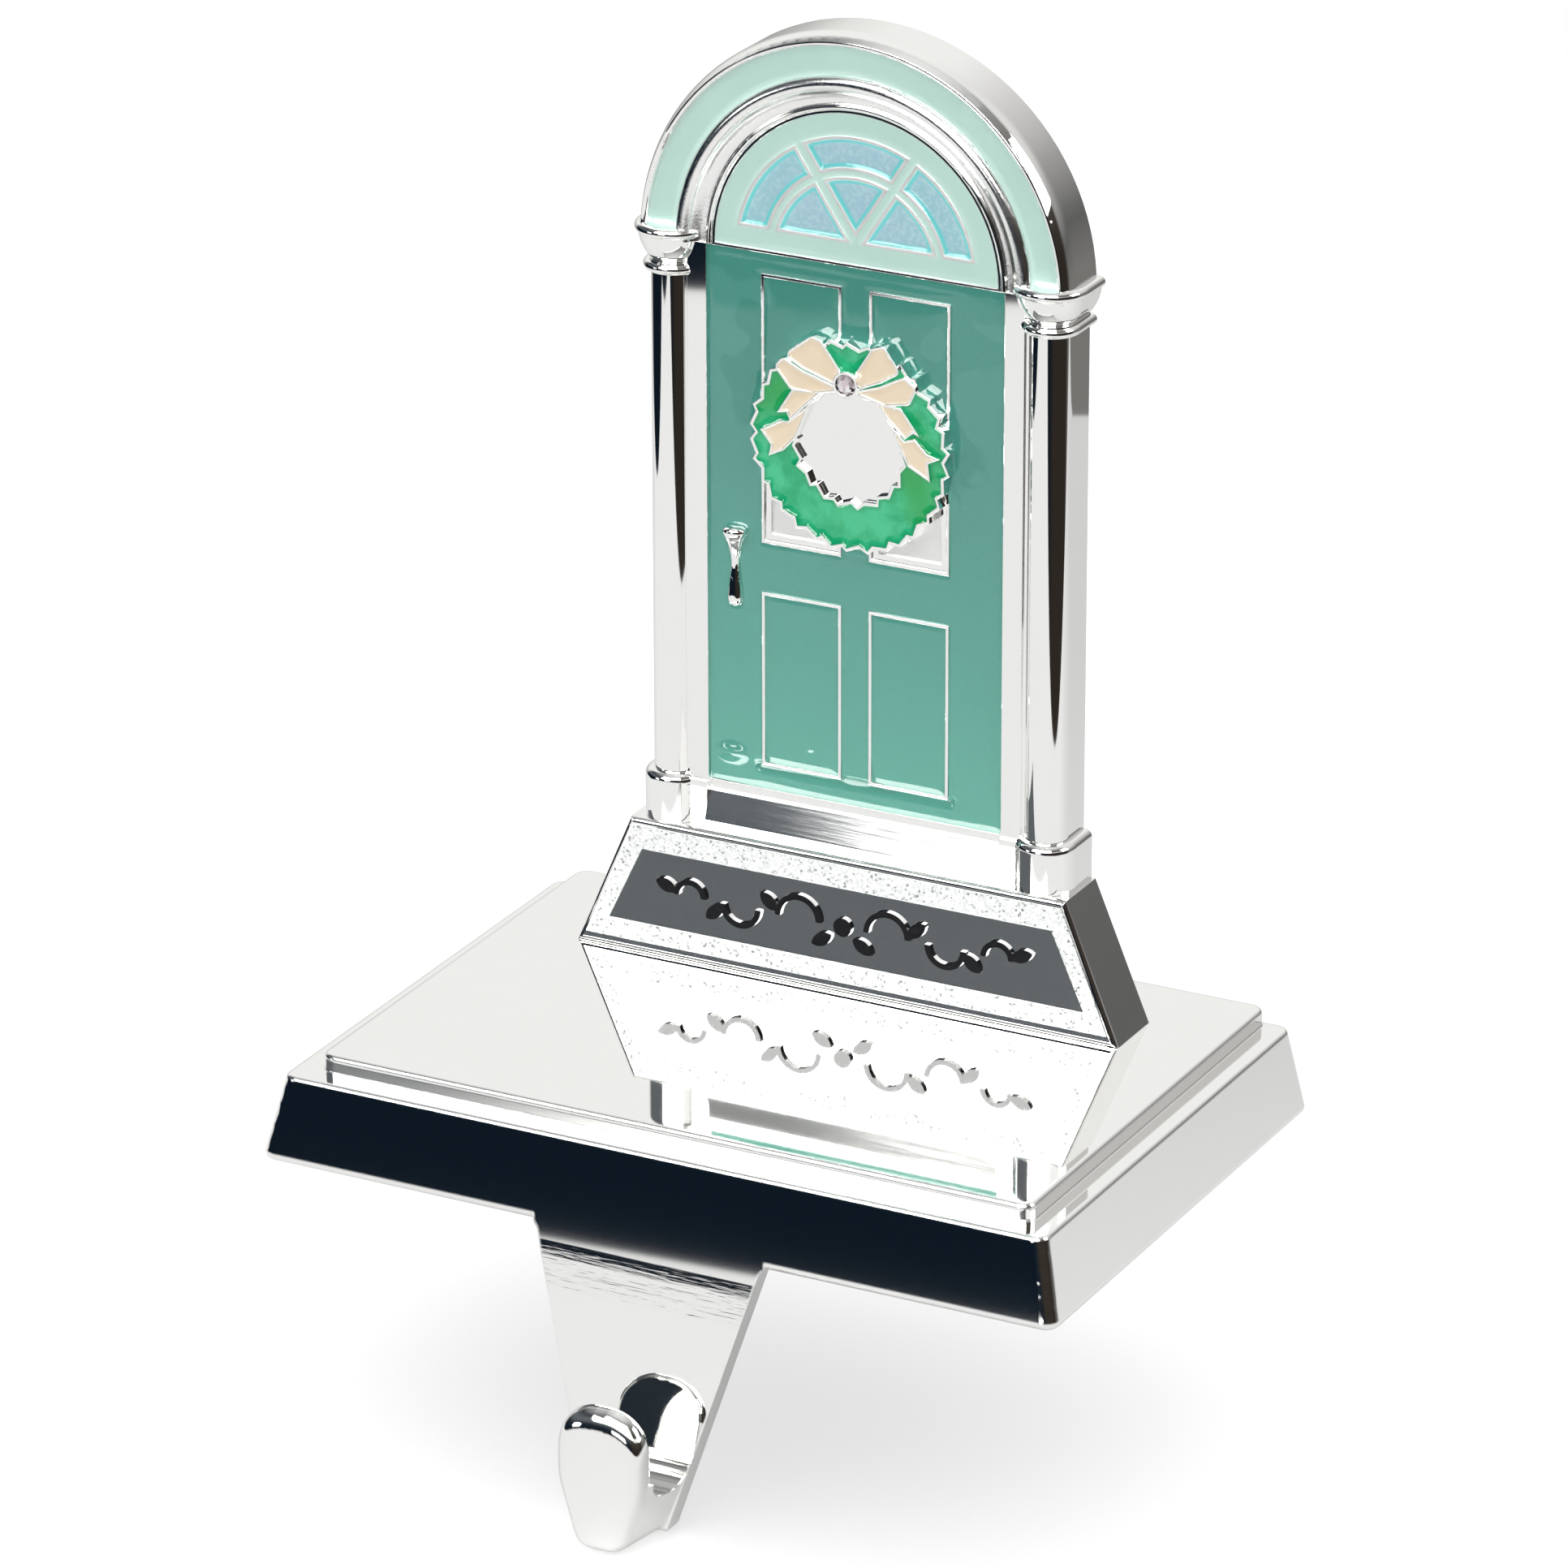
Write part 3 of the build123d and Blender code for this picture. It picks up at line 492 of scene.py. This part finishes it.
def plating(name, edge):
    """Bright nickel: edges catch light over a small radius."""
    made, g = material(name)
    haze = g.noise(220.0, 3.0)
    shade = g.mix(haze, rgba(0.94, 0.936, 0.918), rgba(0.955, 0.952, 0.938))
    rounded = g.node("Bevel", {"Radius": edge}, samples=4).outputs[0]
    return made, g, shade, rounded


def base_metal():
    """The base's plating, with brushed streaks where the arm leaves the front wall."""
    made, g, shade, rounded = plating("plated_metal", 0.4 * MM)
    streak = g.times(g.streaks(90.0, 1500.0), g.window(g.axes()[2], arm_low, arm_high, MM))
    g.surface(shade, g.add(polish, g.times(streak, 0.12)), Metallic=1.0,
              Normal=g.bump(streak, 0.0001, 0.35, rounded))
    return made


def figure_metal():
    """The figure's plating: grainy cove and bare corners, matt pane lines and a brushed sill."""
    made, g, shade, rounded = plating("figure_plating", 0.12 * MM)
    x, y, z = g.axes()
    side = g.math("ABSOLUTE", x)
    rise = g.math("SUBTRACT", z, spring_height)
    radius = g.math("SQRT", g.add(g.times(x, x), g.times(rise, rise)))
    front = g.step(y, mask_back, mask_back - MM)
    above = g.times(front, g.step(rise, 0.0, 0.3 * MM))
    bare = g.times(front, g.step(y, bare_floor, bare_floor + 0.05 * MM),
                   g.window(z, bare_low, bare_high, mask_edge),
                   g.window(side, -MM, bare_side, mask_edge))
    cove = g.times(above, g.window(radius, *cove_ring, mask_edge))
    pane_lines = g.times(above, g.step(radius, *pane_ring))
    sill = g.times(front, g.window(z, sill_low, sill_high, mask_edge),
                   g.window(side, -MM, sill_side, mask_edge))
    streak = g.streaks(60.0, 2600.0)
    worn = g.add(0.12, g.times(g.step(x, -16 * MM, 12 * MM), 0.42))
    rough = g.add(polish, g.times(bare, 0.34), g.times(cove, 0.13), g.times(sill, streak, worn),
                  g.times(pane_lines, 0.4))
    speck = g.noise(3200.0, 2.0, 0.7)
    height = g.add(g.times(speck, g.add(bare, g.times(cove, 0.35))), g.times(streak, sill, 0.25))
    g.surface(shade, rough, Metallic=1.0, Normal=g.bump(height, 0.0001, 0.5, rounded))
    return made


def hard_enamel(g, tint, grain=enamel_grain):
    """A faint fine grain in a colour, under a clear glossy surface."""
    tint = g.mix(g.times(g.noise(6000.0, 1.0), grain), tint, grey(1))
    g.surface(tint, enamel_roughness, IOR=enamel_index)


def enamel(name, colour, deep, edge):
    """An even colour with faint drift, and a lighter edge colour at the walls: a painted highlight
    for light caught in the enamel's meniscus.
    """
    made, g = material(name)
    tint = g.mix(g.step(g.noise(90.0, 3.0), 0.35, 0.65), srgb(*deep), srgb(*colour))
    # The edge colour is a painted highlight along the walls, not a tone of the enamel itself
    hard_enamel(g, g.mix(g.step(g.rim(), 0.25, 0.95), tint, srgb(*edge)))
    return made


def black_enamel():
    made, g = material("black_enamel")
    tint = g.mix(g.step(g.noise(90.0, 3.0), 0.35, 0.65), srgb(20, 20, 22), srgb(12, 12, 14))
    hard_enamel(g, tint, 0.01)
    return made


def door_enamel():
    """The door's green with painted reflection: paler below, with darker painted clouds round and
    above the wreath and along the top, standing for the dark studio mirrored in the enamel.
    """
    made, g = material("door_enamel")
    x, y, z = g.axes()
    # Painted reflection: the green darkens up towards the wreath, and noise-edged dark clouds and a
    # dark top stand for the dark studio mirrored in the enamel
    cloud = g.noise(110.0, 1.5, 0.45)
    shift = g.math("SUBTRACT", cloud, 0.5)
    level = g.add(z, g.times(shift, 60 * MM), g.times(x, 0.35))
    high = g.step(level, wreath_centre.z - 1.5 * MM, wreath_centre.z + 1.5 * MM)
    middle = g.step(g.math("ABSOLUTE", g.add(x, g.times(shift, 40 * MM))), 16.5 * MM, 15 * MM)
    painted_dark_top = g.step(g.add(z, g.times(cloud, 12 * MM)), door_high.z + MM, door_high.z + 2 * MM)
    low = g.node("MapRange", {"Value": z, "From Min": door_low.z,
                              "From Max": wreath_centre.z}).outputs[0]
    lower = g.mix(low, srgb(90, 171, 153), srgb(78, 156, 143))
    upper = g.mix(g.noise(70.0, 1.0), srgb(58, 144, 128), srgb(72, 154, 140))
    hard_enamel(g, g.mix(g.math("MAXIMUM", g.times(high, middle), painted_dark_top), lower, upper))
    return made


def pane_enamel():
    """Pale blue over a textured floor, turquoise where it climbs the walls."""
    made, g = material("pane_enamel")
    rim = g.rim()
    grain = g.noise(1700.0, 2.0)
    middle = g.mix(g.noise(120.0, 1.0), srgb(160, 220, 226), srgb(186, 212, 232))
    middle = g.mix(g.times(g.step(grain, 0.4, 0.7), 0.6), middle, srgb(204, 236, 240))
    tint = g.mix(g.step(rim, 0.25, 0.6), middle, srgb(122, 228, 228))
    tint = g.mix(g.step(rim, 0.75, 1.0), tint, srgb(196, 246, 242))
    g.surface(tint, 0.05, IOR=1.55, Normal=g.bump(grain, 0.00004, 0.5))
    return made


def wreath_green():
    """Green of uneven depth, darker at its walls."""
    made, g = material("wreath_green")
    cloud = g.noise(260.0, 3.0, 0.55)
    tint = g.mix(g.step(cloud, 0.38, 0.66), srgb(28, 180, 120), srgb(70, 206, 150))
    tint = g.mix(g.step(g.noise(90.0, 1.0), 0.5, 0.75), tint, srgb(40, 172, 84))
    tint = g.mix(g.times(g.step(g.rim(), 0.2, 0.9), 0.4), tint, srgb(18, 146, 94))
    g.surface(tint, 0.05, IOR=enamel_index, Normal=g.bump(cloud, 0.00012, 0.6))
    return made


def glitter():
    """Silver flakes under clear resin, each with a random grey tone; the darkest and whitest flakes
    are painted dark reflections and painted glints.
    """
    made, g = material("silver_glitter")
    tone_and_painted_glint = g.cell_tone(3300.0)
    # Random flake tones; the darkest and the white stops are painted dark reflections and painted
    # glints
    tint = g.ramp(tone_and_painted_glint, (0.0, 120, 124, 126), (0.12, 206, 209, 208), (0.55, 224, 226, 225),
                  (0.86, 236, 238, 236), (0.93, 255, 255, 252))
    g.surface(tint, 0.3, Metallic=0.15, Normal=g.bump(tone_and_painted_glint, 0.00012, 0.5))
    return made


def cut_stone():
    """A cut clear stone over foil: each facet cell gets a dark, white or pink tone, a painted
    reflection of what the facet would mirror.
    """
    made, g = material("clear_stone")
    tone_and_painted_glint = g.cell_tone(1900.0)
    # Painted reflection: dark, white and pink facet tones stand for what each facet would mirror
    tint = g.ramp(tone_and_painted_glint, (0.0, 30, 28, 30), (0.22, 96, 88, 88), (0.34, 232, 226, 228),
                  (0.75, 255, 254, 255), (0.88, 214, 196, 200))
    g.surface(tint, 0.06, Metallic=0.45, Normal=g.bump(tone_and_painted_glint, 0.0002, 0.5))
    return made


def foam():
    made, g = material("foam_pad")
    cells = g.cells(2500.0, "Distance")
    tint = g.mix(cells, rgba(0.03, 0.03, 0.032), rgba(0.06, 0.06, 0.064))
    g.surface(tint, 0.9, Normal=g.bump(cells, 0.0002))
    return made


def screw_steel():
    made, g = material("screw_steel")
    grain = g.noise(1500.0, 2.0)
    tint = g.mix(grain, rgba(0.55, 0.55, 0.54), rgba(0.68, 0.68, 0.66))
    g.surface(tint, 0.3, Metallic=1.0, Normal=g.bump(grain, 0.00002))
    return made


def dress_nodes():
    """A material for every node, and the poured copies of the enamel fills."""
    by_slot = {
        "plated_metal": base_metal(),
        "foam_pad": foam(),
        "screw_steel": screw_steel(),
        "door_enamel": door_enamel(),
        # The last colour of this enamel is a painted highlight at its walls
        "mint_enamel": enamel("mint_enamel", (206, 241, 229), (202, 238, 226), (214, 246, 236)),
        "pane_enamel": pane_enamel(),
        "wreath_green": wreath_green(),
        # The last colour of this enamel is a painted highlight at its walls
        "cream_enamel": enamel("cream_enamel", (253, 233, 203), (249, 227, 194), (255, 240, 216)),
        "clear_stone": cut_stone(),
        "silver_glitter": glitter(),
        "black_enamel": black_enamel(),
    }
    figure = figure_metal()
    for part in frame["record"]["subparts"]:
        name, slot = part["node"], part["material_slot"]
        made = figure if name == "door_figure" else by_slot[slot]
        dress(nodes[name], made)
        if name in pours:
            poured(name, made)


make_camera()
make_world()
make_floor()
dress_nodes()
bpy.context.scene.view_settings.view_transform = "Standard"
